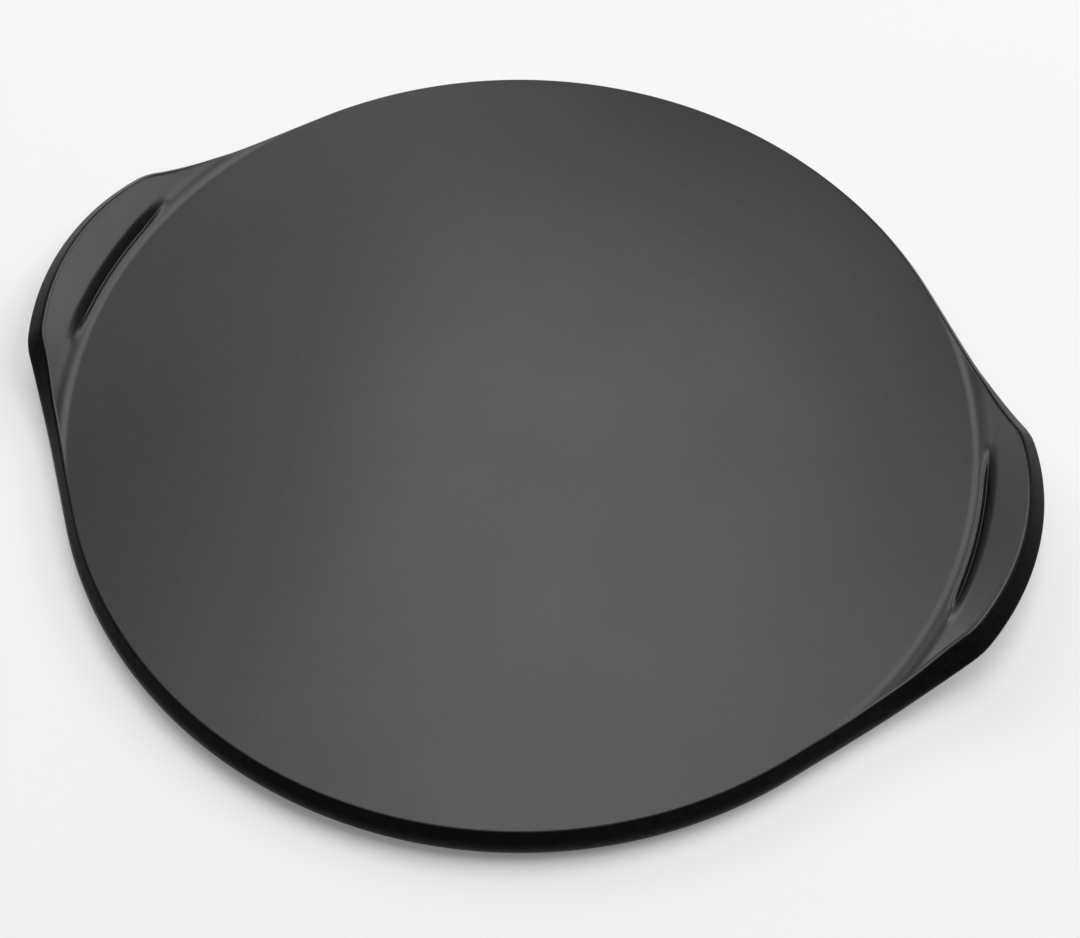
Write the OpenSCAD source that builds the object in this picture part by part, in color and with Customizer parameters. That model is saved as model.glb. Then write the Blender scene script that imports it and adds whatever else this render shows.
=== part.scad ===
// Glazed pizza stone: a round baking plate with two raised grips, cast in one piece.
// Millimetres. The underside rests on z = 0, the middle of the round is at x = y = 0,
// and the grips lie along X.

/* [Round] */
// Diameter of the round, at its widest line
round_d = 365; // [300:1:420]
// Thickness of the round
stone_t = 14; // [12:0.5:18]
// Rounding of the upper edge of the round
edge_r = 1.5; // [1:0.5:4]
// Lean of the round's side wall, which widens downwards, in degrees
edge_lean = 40; // [5:1:45]
// Rounding of the lower edge of the round
foot_r = 6.5; // [2:0.5:7]

/* [Grips] */
// How far each grip stands out past the round
grip_reach = 22.5; // [16:0.5:34]
// Width of the bowed end of a grip, between its two corners
grip_w = 90; // [60:1:110]
// Radius of the bowed end
grip_bow_r = 120; // [90:1:180]
// Radius of the corners
grip_corner_r = 33; // [24:1:50]
// Slope of the upper face of a grip, in degrees
grip_slope = 39; // [20:1:42]
// Width of the soft crease between the flat face and the slope
crease_w = 8; // [4:0.5:12]
// Rounding of the upper edge at the end of a grip
grip_edge_r = 2; // [1:0.5:4]
// Lean of the side wall at the end of a grip, in degrees
grip_edge_lean = 50; // [10:1:55]
// Rounding of the lower edge at the end of a grip
grip_foot_r = 2; // [1:0.5:4]
// Height of the finger space below the end of a grip
grip_lift = 18; // [8:0.5:19]
// Width of the soft bend where the underside leaves the foot
under_w = 8; // [4:0.5:12]

/* [Thumb grooves] */
// Distance of the groove's middle line from the start of the crease
groove_out = 6.5; // [6:0.5:9]
// Width of the groove at its mouth
groove_w = 6; // [4:0.5:8]
// Depth of the groove
groove_d = 3; // [1:0.25:4]
// Length of the groove, along its arc
groove_l = 88; // [50:1:100]
// Length over which the groove fades out at each end
groove_fade = 22; // [10:1:30]

/* [Smoothness] */
// Steps along half of a grip's bowed end
bow_steps = 12; // [6:1:12]
// Steps round each corner
corner_steps = 5; // [3:1:6]
// Steps along each flank
flank_steps = 9; // [5:1:10]
// Steps round a quarter of the round, between its flank and the middle
round_steps = 18; // [12:1:20]
// Steps across the groove
groove_steps = 8; // [6:2:8]
// Steps over the upper edge
edge_steps = 6; // [5:1:8]
// Steps over the lower edge, above its widest line
brow_steps = 3; // [2:1:4]
// Steps over the lower edge, below its widest line
foot_steps = 3; // [2:1:5]
// Steps across the underside of a grip
under_steps = 5; // [4:1:6]

/* [Hidden] */

// Radius of the round at its widest line
round_r = round_d / 2;
// How far the flat face ends inside the widest line, from the two roundings and the leaning wall between them
edge_wall_h = stone_t - foot_r * (1 + sin(edge_lean)) - edge_r * (1 - sin(edge_lean));
edge_inset = edge_r * cos(edge_lean) + foot_r * (1 - cos(edge_lean)) + tan(edge_lean) * edge_wall_h;
// The flat face ends on this circle, and the grips rise from it
crease_r = round_r - edge_inset;
// The flat foot ends on this circle
foot_edge_r = round_r - foot_r;
// The ends of the grips
tip_x = round_r + grip_reach;
// Radius of the groove's middle line, and half of its width
groove_r = crease_r + groove_out;
groove_half = groove_w / 2;
groove_start_r = groove_r - groove_half;
groove_end_r = groove_r + groove_half;
// The innermost ring of the upper face, and the most of that face's width that the groove's rings take
flat_r = crease_r - crease_w / 2;
groove_share = 0.75;
// Steps from the crease to the groove, and from the groove to the edge
inner_steps = 3;
outer_steps = 3;
// Share of a grip's reach over which the round's edge turns into the grip's
edge_change = 0.7;

// The bowed end runs to this angle, and the corner arc's centre follows from it
bow_a = asin(grip_w / 2 / grip_bow_r);
bow_cx = tip_x - grip_bow_r;
corner_c = [bow_cx + (grip_bow_r - grip_corner_r) * cos(bow_a), (grip_bow_r - grip_corner_r) * sin(bow_a)];
// Angle at which the straight flank touches both the corner arc and the round
flank_a = atan2(corner_c.y, corner_c.x) + acos((round_r - grip_corner_r) / norm(corner_c));

// Slope of the upper face, and of the underside, which reaches grip_lift at the grip's lower edge
top_rate = tan(grip_slope);
under_rate = grip_lift / (tip_x - grip_foot_r - foot_edge_r - under_w / 2);

// Even change from 0 to 1 as x goes from a to b
function smooth(a, b, x) = let (t = min(max((x - a) / (b - a), 0), 1)) t * t * (3 - 2 * t);

// Height of a slope that starts softly at radius start, over a bend of width soft
function climb(r, start, soft, rate) =
    r <= start ? 0
    : r < start + soft ? rate * (r - start) * (r - start) / (2 * soft)
    : rate * (r - start - soft / 2);

// Slope of the upper face at radius r
function top_slope(r) = top_rate * min(max((r - crease_r) / crease_w, 0), 1);

// Depth of the thumb groove at point p, an arc about the middle of the round
function groove(p) =
    let (along = atan2(abs(p.y), abs(p.x)) * PI / 180 * groove_r)
    let (fade = 1 - smooth(groove_l / 2 - groove_fade, groove_l / 2, along))
    let (across = abs(norm(p) - groove_r) / groove_half)
    across < 1 ? groove_d * fade * (1 + cos(180 * across)) / 2 : 0;

// Height of the upper face and of the underside
function top_z(p) = stone_t + climb(norm(p), crease_r, crease_w, top_rate) - groove(p);
function under_z(p) = climb(norm(p), foot_edge_r, under_w, under_rate);

// A quarter of the outline at its widest line: each station is [point, direction it faces]
function arc_station(centre, r, a) = [centre + r * [cos(a), sin(a)], a];
corner_end = corner_c + grip_corner_r * [cos(flank_a), sin(flank_a)];
flank_end = round_r * [cos(flank_a), sin(flank_a)];
quarter = [
    for (i = [0 : bow_steps - 1]) arc_station([bow_cx, 0], grip_bow_r, bow_a * i / bow_steps),
    for (i = [0 : corner_steps - 1])
        arc_station(corner_c, grip_corner_r, bow_a + (flank_a - bow_a) * i / corner_steps),
    for (i = [0 : flank_steps - 1]) [corner_end + (flank_end - corner_end) * i / flank_steps, flank_a],
    for (i = [0 : round_steps]) arc_station([0, 0], round_r, flank_a + (90 - flank_a) * i / round_steps)
];

// The other quarters mirror it, and the stations on the axes are used once
function backward(list) = [for (i = [len(list) - 1 : -1 : 0]) list[i]];
function without_first(list) = [for (i = [1 : len(list) - 1]) list[i]];
function without_last(list) = [for (i = [0 : len(list) - 2]) list[i]];
half = concat(quarter, without_first(backward([for (s = quarter) [[-s[0].x, s[0].y], 180 - s[1]]])));
outline = concat(half, without_first(without_last(backward([for (s = half) [[s[0].x, -s[0].y], -s[1]]]))));

// Radii of the rings on the upper face, from the crease to the start of the edge at radius edge_start.
// They keep to circles while the edge is well outside the groove, and draw together where it isn't.
function face_radii(edge_start) =
    let (draw = min(1, groove_share * (edge_start - flat_r) / (groove_end_r - flat_r)))
    let (crease = flat_r + draw * (crease_r - flat_r))
    let (near = flat_r + draw * (groove_start_r - flat_r))
    let (far = flat_r + draw * (groove_end_r - flat_r))
    concat(
        [for (i = [0 : inner_steps - 1]) crease + (near - crease) * i / inner_steps],
        [for (i = [0 : groove_steps - 1]) near + (far - near) * i / groove_steps],
        [for (i = [0 : outer_steps - 1]) far + (edge_start - far) * i / outer_steps]
    );

// The section at one station, from the flat face over the edge to the flat foot
function section(s) =
    let (p = s[0])
    let (out = [cos(s[1]), sin(s[1])])
    let (share = smooth(round_r, round_r + edge_change * grip_reach, norm(p)))
    let (upper_r = edge_r + (grip_edge_r - edge_r) * share)
    let (lower_r = foot_r + (grip_foot_r - foot_r) * share)
    let (lean = edge_lean + (grip_edge_lean - edge_lean) * share)
    // the upper face as a straight line across the edge
    let (near = p - edge_inset * out)
    let (slope = top_slope(norm(near)) * (near * out) / norm(near))
    let (tilt = atan(slope))
    // the lower edge, and where the upper rounding has to start to meet the leaning wall
    let (low = p - lower_r * out)
    let (low_z = under_z(low))
    let (wall_h = top_z(near) + slope * edge_inset - low_z
        - lower_r * (1 + sin(lean)) - upper_r * (cos(tilt) - sin(lean)))
    let (inset = (upper_r * (cos(lean) + sin(tilt)) + lower_r * (1 - cos(lean)) + tan(lean) * wall_h)
        / (1 + slope * tan(lean)))
    let (start = p - inset * out)
    let (start_z = top_z(start))
    let (ray = start / norm(start))
    concat(
        [[flat_r * ray.x, flat_r * ray.y, stone_t]],
        [for (r = face_radii(norm(start))) [r * ray.x, r * ray.y, top_z(r * ray)]],
        [for (i = [0 : edge_steps])
            let (a = -tilt + (90 - lean + tilt) * i / edge_steps)
            let (q = start + upper_r * (sin(a) + sin(tilt)) * out)
            [q.x, q.y, start_z - upper_r * (cos(tilt) - cos(a))]],
        [for (i = [-brow_steps : foot_steps])
            let (a = i < 0 ? -lean * i / brow_steps : -90 * i / foot_steps)
            let (q = low + lower_r * cos(a) * out)
            [q.x, q.y, low_z + lower_r * (1 + sin(a))]],
        [for (i = [1 : under_steps])
            let (r = norm(low) + (foot_edge_r - under_w - norm(low)) * i / under_steps)
            let (q = r * low / norm(low))
            [q.x, q.y, under_z(q)]]
    );

// The stone is lofted through the sections, and closed by its flat face and its flat foot
module stone() {
    sections = [for (s = outline) section(s)];
    n = len(sections);
    m = len(sections[0]);
    points = [for (ring = sections) for (p = ring) p];
    sides = [
        for (i = [0 : n - 1]) for (k = [0 : m - 2])
            let (a = i * m + k)
            let (b = (i + 1) % n * m + k)
            for (face = [[a, b, b + 1], [a, b + 1, a + 1]]) face
    ];
    flat_face = [for (i = [n - 1 : -1 : 0]) i * m];
    flat_foot = [for (i = [0 : n - 1]) i * m + m - 1];
    color("#1c1c1d")
        polyhedron(points = points, faces = concat(sides, [flat_face, flat_foot]), convexity = 6);
}

stone();
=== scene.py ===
import math

import bpy
import numpy as np
from mathutils import Matrix, Vector


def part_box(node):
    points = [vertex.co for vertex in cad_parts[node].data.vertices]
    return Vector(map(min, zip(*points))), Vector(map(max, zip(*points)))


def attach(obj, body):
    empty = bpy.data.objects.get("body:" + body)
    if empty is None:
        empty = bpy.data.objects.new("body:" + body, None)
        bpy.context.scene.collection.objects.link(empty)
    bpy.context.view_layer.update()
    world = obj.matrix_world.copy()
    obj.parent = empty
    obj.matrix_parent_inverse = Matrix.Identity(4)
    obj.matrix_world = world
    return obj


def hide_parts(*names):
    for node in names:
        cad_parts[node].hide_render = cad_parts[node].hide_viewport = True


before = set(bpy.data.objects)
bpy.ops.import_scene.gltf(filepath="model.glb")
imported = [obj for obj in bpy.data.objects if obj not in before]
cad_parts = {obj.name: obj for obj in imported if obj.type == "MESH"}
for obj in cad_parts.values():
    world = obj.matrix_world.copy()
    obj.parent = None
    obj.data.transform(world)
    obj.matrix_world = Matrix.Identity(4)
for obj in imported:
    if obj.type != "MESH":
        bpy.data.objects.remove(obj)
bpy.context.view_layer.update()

MM = 0.001

# The end of a grip and the widest line of the round, from the solid's box
_, box_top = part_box("stone")
TIP_X = box_top.x / MM
ROUND_R = box_top.y / MM

# Sizes of the stone, in millimetres and degrees, as the CAD model has them
STONE_T = 14.0
EDGE_R, GRIP_EDGE_R = 1.5, 2.0
EDGE_LEAN, GRIP_EDGE_LEAN = 40.0, 50.0
FOOT_R, GRIP_FOOT_R = 6.5, 2.0
GRIP_W = 90.0
GRIP_BOW_R = 120.0
GRIP_CORNER_R = 33.0
GRIP_SLOPE = 39.0
CREASE_W = 8.0
GRIP_LIFT = 18.0
UNDER_W = 8.0
GROOVE_OUT = 6.5
GROOVE_W = 6.0
GROOVE_D = 3.0
GROOVE_L = 88.0
GROOVE_FADE = 22.0
# Share of a grip's reach over which the round's edge turns into the grip's
EDGE_CHANGE = 0.7
# The groove's walls fall with this power of the distance from its mouth, steepest in the middle
GROOVE_POWER = 2.2

# Sizes that follow from them
EDGE_TILT = math.radians(EDGE_LEAN)
EDGE_WALL_H = STONE_T - FOOT_R * (1 + math.sin(EDGE_TILT)) - EDGE_R * (1 - math.sin(EDGE_TILT))
EDGE_INSET = (EDGE_R * math.cos(EDGE_TILT) + FOOT_R * (1 - math.cos(EDGE_TILT))
              + math.tan(EDGE_TILT) * EDGE_WALL_H)
CREASE_R = ROUND_R - EDGE_INSET
FOOT_EDGE_R = ROUND_R - FOOT_R
GROOVE_HALF = GROOVE_W / 2
GROOVE_R = CREASE_R + GROOVE_OUT
GROOVE_START_R, GROOVE_END_R = GROOVE_R - GROOVE_HALF, GROOVE_R + GROOVE_HALF
FLAT_R = CREASE_R - CREASE_W / 2
TOP_RATE = math.tan(math.radians(GRIP_SLOPE))
UNDER_RATE = GRIP_LIFT / (TIP_X - GRIP_FOOT_R - FOOT_EDGE_R - UNDER_W / 2)

# Fineness of the mesh: steps along a quarter of the outline, and rings of the section
BOW_STEPS, CORNER_STEPS, FLANK_STEPS, ROUND_STEPS = 44, 16, 36, 44
INNER_RINGS, GROOVE_RINGS, OUTER_RINGS = 14, 24, 12
EDGE_RINGS, BROW_RINGS, FOOT_RINGS, UNDER_RINGS = 18, 10, 10, 12
# The most of the upper face's width, outside the flat, that the rings up to the groove's end take
GROOVE_SHARE = 0.75

# The glaze of the upper face and of the sides: gloss, and roughness from least to most. The sides'
# gloss is far below the top's, which paints shade that keeps the walls near black.
TOP_GLOSS, SIDE_GLOSS_FOR_PAINTED_SHADE = 0.35, 0.04
TOP_ROUGHNESS = (0.28, 0.32)
SIDE_ROUGHNESS = (0.30, 0.36)
GLAZE_IOR = 1.5
DEEP_BLACK = (0.0035, 0.0035, 0.0037, 1)
SOFT_BLACK = (0.0075, 0.0074, 0.0073, 1)
# The sides, with their painted shade, start at this ring, half way over the upper rounding
SIDE_FROM = INNER_RINGS + GROOVE_RINGS + OUTER_RINGS + 1 + EDGE_RINGS // 2
# Noise in the glaze: the size of its grain in metres, and its detail
CLOUDS = (0.05, 3)
SPECKLE = (0.0022, 2)
PEEL = (0.004, 2)
PEEL_STRENGTH = 0.25
PEEL_DEPTH = 0.00002
# Most of the noise lies between these values
NOISE_LOW, NOISE_HIGH = 0.3, 0.7

# The floor's half width in metres, its tone, and how much of it glows to the camera and in reflections
FLOOR_HALF = 4.0
FLOOR_TONE = 0.92
FLOOR_GLOW = 0.20
PALE = (FLOOR_TONE, FLOOR_TONE, FLOOR_TONE, 1)
# Share of the pale world that the glaze reflects
WORLD_IN_GLAZE = 0.2

# The camera, as fitted to the photo: angles in degrees, lengths in millimetres
AZIMUTH = 18.89
ELEVATION = 57.89
ROLL = 1.38
DISTANCE = 559.49
AIM_RIGHT, AIM_AWAY = 7.90, -34.90
# Focal length over the picture's width, and the nearest and farthest that it sees in metres
FOCAL_WIDTHS = 1450 / 1080
SENSOR_W = 36
CLIP_NEAR, CLIP_FAR = 0.05, 50

# The softboxes: azimuth from the picture's right, elevation, sides over the distance, and radiance
LAMP_DISTANCE = 6.0
LAMPS = [
    ("overhead", 90, 78, (0.57, 0.43), 3.7),
    ("overhead_front", 210, 74, (0.40, 0.40), 1.2),
    ("behind_strip", 91, 62, (0.14, 0.40), 1.6),
    ("behind", 84, 56, (0.40, 0.33), 3.8),
    ("behind_left", 118, 56, (0.33, 0.33), 1.0),
    ("mid_behind", 105, 34, (0.40, 0.30), 2.2),
    ("mid_behind_left", 126, 41, (0.25, 0.14), 2.7),
    ("mid_left", 138, 30, (0.35, 0.20), 4.3),
    ("low_left", 138, 12, (0.33, 0.18), 1.6),
    ("low_behind_left", 122, 20, (0.22, 0.16), 1.8),
    ("horizon_behind_left", 112, 5, (0.25, 0.14), 8.0),
    ("top_right", 42, 57, (0.30, 0.36), 1.9),
    ("right", 35, 36, (0.30, 0.30), 5.0),
    ("far_right", 13, 36, (0.30, 0.30), 3.5),
    ("high_right", 5, 54, (0.40, 0.33), 5.0),
    ("low_right", 30, 16, (0.30, 0.25), 1.0),
]


def smooth(a, b, x):
    """Even change from 0 to 1 as x goes from a to b."""
    t = np.clip((x - a) / (b - a), 0, 1)
    return t * t * (3 - 2 * t)


def climb(r, start, soft, rate):
    """Height of a slope that starts softly at radius start."""
    past = np.clip(r - start, 0, None)
    return np.where(past < soft, rate * past**2 / (2 * soft), rate * (past - soft / 2))


def groove(p):
    """Depth of the thumb groove at points p."""
    along = np.arctan2(abs(p[:, 1]), abs(p[:, 0])) * GROOVE_R
    fade = 1 - smooth(GROOVE_L / 2 - GROOVE_FADE, GROOVE_L / 2, along)
    across = np.clip(abs(np.hypot(*p.T) - GROOVE_R) / GROOVE_HALF, 0, 1)
    return GROOVE_D * fade * (1 - across) ** GROOVE_POWER


def top_z(p):
    """Height of the upper face at points p."""
    return STONE_T + climb(np.hypot(*p.T), CREASE_R, CREASE_W, TOP_RATE) - groove(p)


def under_z(p):
    """Height of the underside at points p."""
    return climb(np.hypot(*p.T), FOOT_EDGE_R, UNDER_W, UNDER_RATE)


def turned(a):
    """The direction at angle a, in radians, or a list of them."""
    return np.stack([np.cos(a), np.sin(a)], -1)


def quarter():
    """A quarter of the widest line, from a grip's end, and the direction that each point faces."""
    bow_a = math.asin(GRIP_W / 2 / GRIP_BOW_R)
    bow_c = np.array([TIP_X - GRIP_BOW_R, 0.0])
    corner_c = bow_c + (GRIP_BOW_R - GRIP_CORNER_R) * turned(bow_a)
    flank_a = math.atan2(*corner_c[::-1]) + math.acos((ROUND_R - GRIP_CORNER_R) / np.hypot(*corner_c))
    bow = np.linspace(0, bow_a, BOW_STEPS, endpoint=False)
    corner = np.linspace(bow_a, flank_a, CORNER_STEPS, endpoint=False)
    flank = np.linspace(0, 1, FLANK_STEPS, endpoint=False)[:, None]
    rounds = np.linspace(flank_a, math.pi / 2, ROUND_STEPS + 1)
    flank_start = corner_c + GRIP_CORNER_R * turned(flank_a)
    flank_end = ROUND_R * turned(flank_a)
    points = np.concatenate([
        bow_c + GRIP_BOW_R * turned(bow),
        corner_c + GRIP_CORNER_R * turned(corner),
        flank_start + (flank_end - flank_start) * flank,
        ROUND_R * turned(rounds),
    ])
    return points, np.concatenate([bow, corner, np.full(FLANK_STEPS, flank_a), rounds])


def outline():
    """Points of the whole widest line, and the direction that each faces, in radians."""
    points, facing = quarter()
    points = np.concatenate([points, (points * [-1, 1])[-2::-1]])
    facing = np.concatenate([facing, math.pi - facing[-2::-1]])
    points = np.concatenate([points, (points * [1, -1])[-2:0:-1]])
    facing = np.concatenate([facing, -facing[-2:0:-1]])
    return points, facing


def edge_values(p):
    """Radii of the upper and lower rounding at points p of the widest line, and the wall's lean."""
    share = smooth(ROUND_R, ROUND_R + EDGE_CHANGE * (TIP_X - ROUND_R), np.hypot(*p.T))
    upper_r = EDGE_R + (GRIP_EDGE_R - EDGE_R) * share
    lower_r = FOOT_R + (GRIP_FOOT_R - FOOT_R) * share
    lean = np.radians(EDGE_LEAN + (GRIP_EDGE_LEAN - EDGE_LEAN) * share)
    return upper_r, lower_r, lean


def edge_start(p, out, upper_r, lower_r, lean):
    """Where the upper rounding starts so that it meets the leaning wall, and the face's tilt there."""
    near = p - EDGE_INSET * out
    near_r = np.hypot(*near.T)
    slope = TOP_RATE * np.clip((near_r - CREASE_R) / CREASE_W, 0, 1) * (near * out).sum(1) / near_r
    tilt = np.arctan(slope)
    low_z = under_z(p - lower_r[:, None] * out)
    wall_h = (top_z(near) + slope * EDGE_INSET - low_z
              - lower_r * (1 + np.sin(lean)) - upper_r * (np.cos(tilt) - np.sin(lean)))
    level_inset = (upper_r * (np.cos(lean) + np.sin(tilt)) + lower_r * (1 - np.cos(lean))
                   + np.tan(lean) * wall_h)
    inset = level_inset / (1 + slope * np.tan(lean))
    return p - inset[:, None] * out, tilt


def face_rings(start):
    """Rings of the upper face, from the flat over the crease and the groove to the edge's start."""
    start_r = np.hypot(*start.T)
    ray = start / start_r[:, None]
    draw = np.clip(GROOVE_SHARE * (start_r - FLAT_R) / (GROOVE_END_R - FLAT_R), None, 1)
    circles = (CREASE_R, GROOVE_START_R, GROOVE_END_R)
    crease, groove_start, groove_end = (FLAT_R + draw * (r - FLAT_R) for r in circles)
    bands = (
        (crease, groove_start, INNER_RINGS),
        (groove_start, groove_end, GROOVE_RINGS),
        (groove_end, start_r, OUTER_RINGS),
    )
    rings = [np.c_[ray * FLAT_R, np.full(len(start), STONE_T)]]
    for first, last, steps in bands:
        for t in np.arange(steps) / steps:
            q = (first + (last - first) * t)[:, None] * ray
            rings.append(np.c_[q, top_z(q)])
    return rings


def upper_rings(start, out, tilt, upper_r, lean):
    """Rings over the upper rounding, as far as the leaning wall."""
    start_z = top_z(start)
    rings = []
    for t in np.linspace(0, 1, EDGE_RINGS):
        a = -tilt + (math.pi / 2 - lean + tilt) * t
        q = start + (upper_r * (np.sin(a) + np.sin(tilt)))[:, None] * out
        rings.append(np.c_[q, start_z - upper_r * (np.cos(tilt) - np.cos(a))])
    return rings


def lower_rings(low, out, lower_r, lean):
    """Rings over the lower rounding, from the leaning wall to the underside."""
    low_z = under_z(low)
    brow_angles = [lean * (1 - t) for t in np.arange(BROW_RINGS) / BROW_RINGS]
    foot_angles = [-math.pi / 2 * t for t in np.linspace(0, 1, FOOT_RINGS)]
    rings = []
    for a in brow_angles + foot_angles:
        q = low + (lower_r * np.cos(a))[:, None] * out
        rings.append(np.c_[q, low_z + lower_r * (1 + np.sin(a))])
    return rings


def under_rings(low):
    """Rings across the underside, to the flat foot."""
    low_r = np.hypot(*low.T)
    rings = []
    for t in np.linspace(0, 1, UNDER_RINGS + 1)[1:]:
        q = ((low_r + (FOOT_EDGE_R - UNDER_W - low_r) * t) / low_r)[:, None] * low
        rings.append(np.c_[q, under_z(q)])
    return rings


def sections():
    """Rings of points, from the flat face over the edge to the flat foot."""
    p, facing = outline()
    out = turned(facing)
    upper_r, lower_r, lean = edge_values(p)
    start, tilt = edge_start(p, out, upper_r, lower_r, lean)
    low = p - lower_r[:, None] * out
    face = face_rings(start)
    upper = upper_rings(start, out, tilt, upper_r, lean)
    lower = lower_rings(low, out, lower_r, lean)
    return np.array(face + upper + lower + under_rings(low))


def loft(name, rings):
    """A closed mesh through the rings. Its last two faces close the first ring and the last."""
    count, around = rings.shape[:2]
    vertices = rings.reshape(-1, 3) * MM
    faces = []
    for k in range(count - 1):
        for i in range(around):
            j = (i + 1) % around
            faces.append((k * around + i, (k + 1) * around + i, (k + 1) * around + j, k * around + j))
    faces.append(tuple(range(around)))
    faces.append(tuple(reversed(range((count - 1) * around, count * around))))
    mesh = bpy.data.meshes.new(name)
    mesh.from_pydata(vertices.tolist(), [], faces)
    mesh.shade_smooth()
    mesh.validate()
    piece = bpy.data.objects.new(name, mesh)
    bpy.context.scene.collection.objects.link(piece)
    return piece


def paint_shade_on_sides(piece, first_ring):
    """Gives the piece's second material, the less glossy glaze that paints shade, to its faces from
    this ring on, and to its foot.
    """
    faces = piece.data.polygons
    flat_face = len(faces) - 2
    around = len(faces[-1].vertices)
    for face in faces:
        side = face.index >= first_ring * around and face.index != flat_face
        face.material_index = int(side)


def noise(nodes, links, size, detail):
    """Even noise from 0 to 1, its grain about the given size in metres."""
    place = nodes.new("ShaderNodeTexCoord")
    pattern = nodes.new("ShaderNodeTexNoise")
    pattern.inputs["Scale"].default_value = 1 / size
    pattern.inputs["Detail"].default_value = detail
    links.new(place.outputs["Object"], pattern.inputs["Vector"])
    return pattern.outputs["Fac"]


def spread(nodes, links, value, low, high):
    """The noise's value, spread from low to high."""
    ramp = nodes.new("ShaderNodeMapRange")
    ramp.inputs["From Min"].default_value = NOISE_LOW
    ramp.inputs["From Max"].default_value = NOISE_HIGH
    ramp.inputs["To Min"].default_value = low
    ramp.inputs["To Max"].default_value = high
    links.new(value, ramp.inputs["Value"])
    return ramp.outputs["Result"]


def glaze(name, gloss, roughness):
    """Near-black fired glaze: a faint orange peel, with small changes of gloss and depth of colour."""
    material = bpy.data.materials.new(name)
    material.use_nodes = True
    nodes, links = material.node_tree.nodes, material.node_tree.links
    shader = nodes["Principled BSDF"]
    shader.inputs["IOR"].default_value = GLAZE_IOR
    shader.inputs["Specular IOR Level"].default_value = gloss
    cloudy = noise(nodes, links, *CLOUDS)
    links.new(spread(nodes, links, cloudy, *roughness), shader.inputs["Roughness"])
    colours = nodes.new("ShaderNodeMix")
    colours.data_type = "RGBA"
    colours.inputs["A"].default_value = DEEP_BLACK
    colours.inputs["B"].default_value = SOFT_BLACK
    speckle = noise(nodes, links, *SPECKLE)
    links.new(spread(nodes, links, speckle, 0, 1), colours.inputs["Factor"])
    links.new(colours.outputs["Result"], shader.inputs["Base Color"])
    peel = nodes.new("ShaderNodeBump")
    peel.inputs["Strength"].default_value = PEEL_STRENGTH
    peel.inputs["Distance"].default_value = PEEL_DEPTH
    links.new(noise(nodes, links, *PEEL), peel.inputs["Height"])
    links.new(peel.outputs["Normal"], shader.inputs["Normal"])
    return material


def pale_floor():
    """Matt and pale. To the camera and in reflections a share of it glows, which lifts its shadows."""
    material = bpy.data.materials.new("pale_floor")
    material.use_nodes = True
    nodes, links = material.node_tree.nodes, material.node_tree.links
    matt = nodes["Principled BSDF"]
    matt.inputs["Base Color"].default_value = PALE
    matt.inputs["Roughness"].default_value = 1.0
    matt.inputs["Specular IOR Level"].default_value = 0.0
    glow = nodes.new("ShaderNodeEmission")
    glow.inputs["Color"].default_value = PALE
    glow.inputs["Strength"].default_value = 1.0
    path = nodes.new("ShaderNodeLightPath")
    seen = nodes.new("ShaderNodeMath")
    seen.operation = "MAXIMUM"
    links.new(path.outputs["Is Camera Ray"], seen.inputs[0])
    links.new(path.outputs["Is Glossy Ray"], seen.inputs[1])
    share = nodes.new("ShaderNodeMath")
    share.operation = "MULTIPLY"
    share.inputs[1].default_value = FLOOR_GLOW
    links.new(seen.outputs["Value"], share.inputs[0])
    both = nodes.new("ShaderNodeMixShader")
    links.new(share.outputs["Value"], both.inputs["Fac"])
    links.new(matt.outputs["BSDF"], both.inputs[1])
    links.new(glow.outputs["Emission"], both.inputs[2])
    links.new(both.outputs["Shader"], nodes["Material Output"].inputs["Surface"])
    return material


def pale_world():
    """Pale past the floor's end. It lights nothing, and the glaze shows only a share of it."""
    world = bpy.data.worlds.new("studio")
    world.use_nodes = True
    nodes, links = world.node_tree.nodes, world.node_tree.links
    background = nodes["Background"]
    background.inputs["Color"].default_value = PALE
    path = nodes.new("ShaderNodeLightPath")
    strength = nodes.new("ShaderNodeMath")
    strength.operation = "MULTIPLY_ADD"
    strength.inputs[1].default_value = WORLD_IN_GLAZE
    links.new(path.outputs["Is Glossy Ray"], strength.inputs[0])
    links.new(path.outputs["Is Camera Ray"], strength.inputs[2])
    links.new(strength.outputs["Value"], background.inputs["Strength"])
    return world


def floor():
    """A square of floor under the stone."""
    mesh = bpy.data.meshes.new("floor")
    signs = ((-1, -1), (1, -1), (1, 1), (-1, 1))
    corners = [(x * FLOOR_HALF, y * FLOOR_HALF, 0) for x, y in signs]
    mesh.from_pydata(corners, [], [(0, 1, 2, 3)])
    plane = bpy.data.objects.new("floor", mesh)
    bpy.context.scene.collection.objects.link(plane)
    mesh.materials.append(pale_floor())


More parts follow.
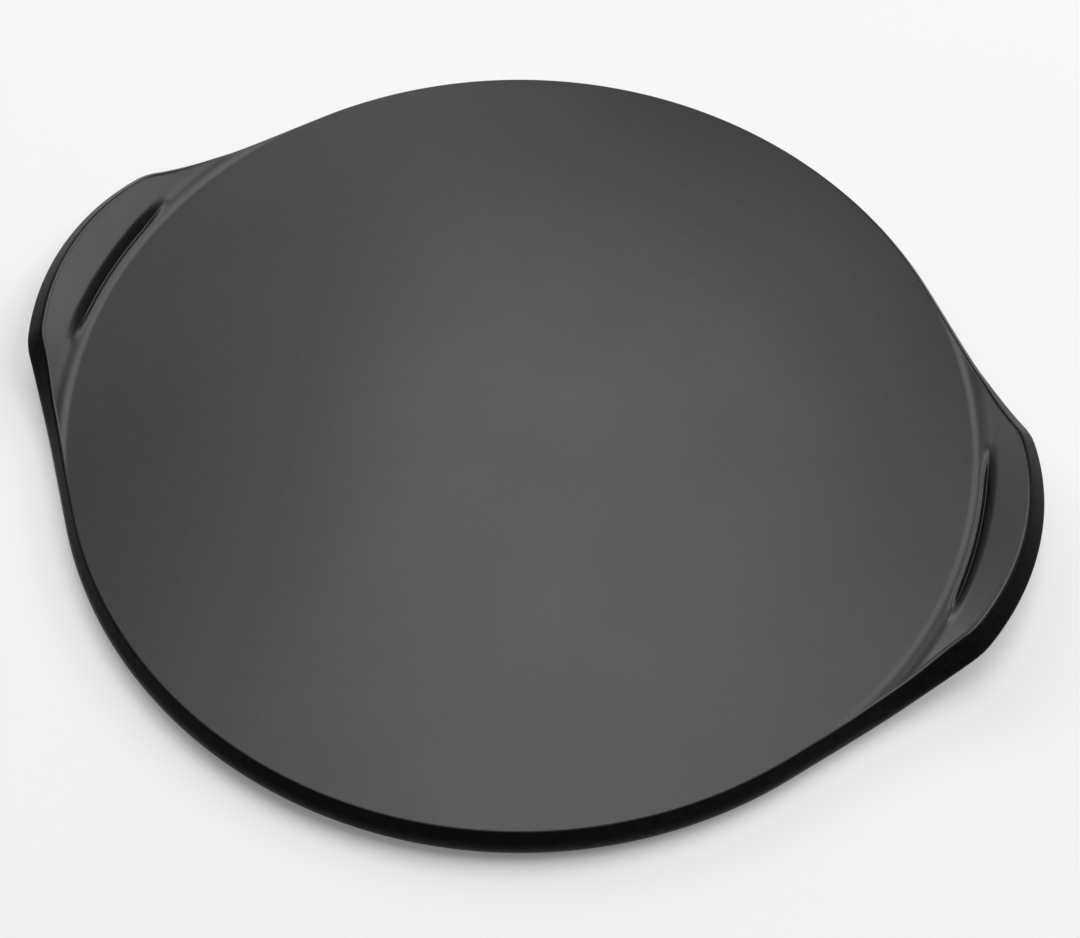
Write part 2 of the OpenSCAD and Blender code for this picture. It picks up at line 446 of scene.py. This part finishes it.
def softbox(name, azimuth, elevation, size, radiance):
    """A square-on lamp at LAMP_DISTANCE from the stone: angles in degrees, turned with the camera."""
    data = bpy.data.lights.new(name, "AREA")
    data.shape = "RECTANGLE"
    data.size, data.size_y = (LAMP_DISTANCE * side for side in size)
    data.energy = math.pi * data.size * data.size_y * radiance
    lamp = bpy.data.objects.new(name, data)
    az, el = math.radians(azimuth + AZIMUTH), math.radians(elevation)
    away = Vector((math.cos(el) * math.cos(az), math.cos(el) * math.sin(az), math.sin(el)))
    lamp.location = LAMP_DISTANCE * away
    lamp.rotation_euler = away.to_track_quat("Z", "Y").to_euler()
    bpy.context.scene.collection.objects.link(lamp)


def camera():
    """The camera looks down on the stone's upper face from the front, and is rolled a little."""
    data = bpy.data.cameras.new("camera")
    data.sensor_width = SENSOR_W
    data.lens = FOCAL_WIDTHS * data.sensor_width
    data.clip_start, data.clip_end = CLIP_NEAR, CLIP_FAR
    cam = bpy.data.objects.new("camera", data)
    turn = Matrix.Rotation(math.radians(AZIMUTH), 3, "Z")
    el, roll = math.radians(ELEVATION), math.radians(ROLL)
    back = Vector((0, -math.cos(el), math.sin(el)))
    right, up = Vector((1, 0, 0)), Vector((0, math.sin(el), math.cos(el)))
    tilted_right = math.cos(roll) * right + math.sin(roll) * up
    tilted_up = -math.sin(roll) * right + math.cos(roll) * up
    place = Vector((AIM_RIGHT, AIM_AWAY, STONE_T)) + back * DISTANCE
    axes = Matrix((turn @ tilted_right, turn @ tilted_up, turn @ back)).transposed()
    cam.matrix_world = Matrix.Translation(turn @ place * MM) @ axes.to_4x4()
    bpy.context.scene.collection.objects.link(cam)
    bpy.context.scene.camera = cam


stone = loft("pizza_stone", sections())
stone.data.materials.append(glaze("top_glaze", TOP_GLOSS, TOP_ROUGHNESS))
# The side glaze is a less glossy copy of the top glaze, which paints shade on the walls and foot
stone.data.materials.append(glaze("side_glaze_painted_shade", SIDE_GLOSS_FOR_PAINTED_SHADE, SIDE_ROUGHNESS))
paint_shade_on_sides(stone, SIDE_FROM)
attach(stone, "root")
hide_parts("stone")
floor()
camera()
for lamp in LAMPS:
    softbox(*lamp)
bpy.context.scene.world = pale_world()
bpy.context.scene.view_settings.view_transform = "Standard"
